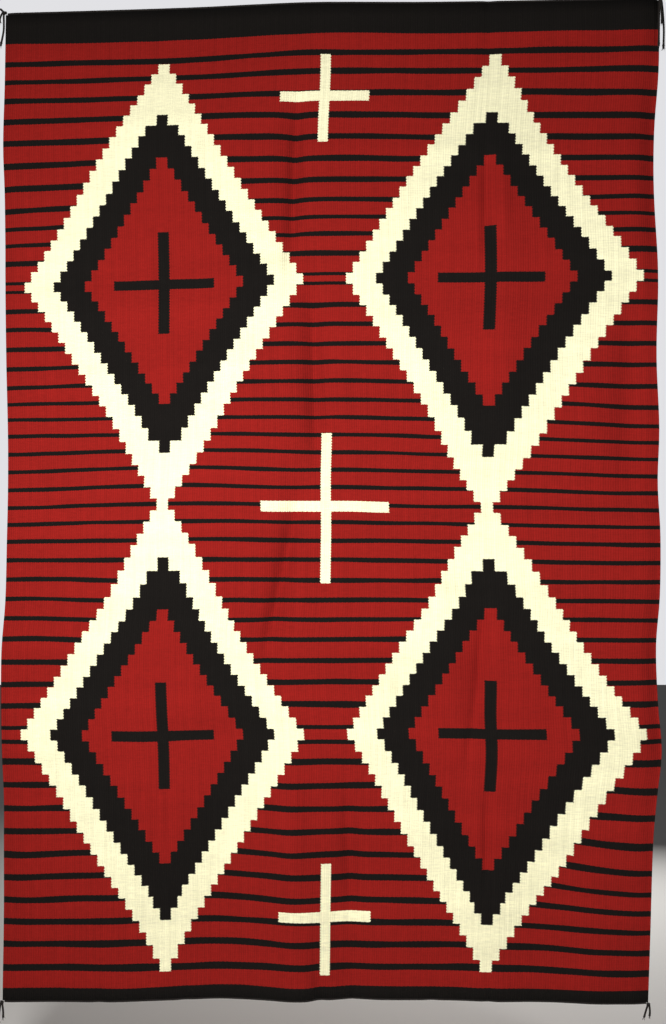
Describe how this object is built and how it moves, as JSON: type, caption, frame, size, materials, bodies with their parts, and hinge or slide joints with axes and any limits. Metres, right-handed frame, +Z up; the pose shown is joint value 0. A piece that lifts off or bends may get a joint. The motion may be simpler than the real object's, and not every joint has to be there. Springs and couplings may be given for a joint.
{
  "type": "hung tapestry-woven wool blanket",
  "caption": "Hanging weft-faced wool blanket with a red ground, thin black stripes, terraced cream and black diamonds, plain crosses, twined end cords and knotted corner tassels.",
  "frame": {"origin": "middle of the blanket's top edge, where it is held up", "axes": "+Z up along the hanging web, +X to the right seen from the front, -Y out of the front face"},
  "size_m": [1.2415, 0.0306, 1.9088],
  "materials": {
    "banded_wool": "matte weft-faced wool in red, black and cream",
    "black_cord": "matte plied wool cord"
  },
  "bodies": {
    "root": {"web": "banded_wool", "end_cord_top": "black_cord", "end_cord_bottom": "black_cord", "tassel_top_left": "black_cord", "tassel_top_right": "black_cord", "tassel_bottom_left": "black_cord", "tassel_bottom_right": "black_cord"}
  },
  "joints": []
}
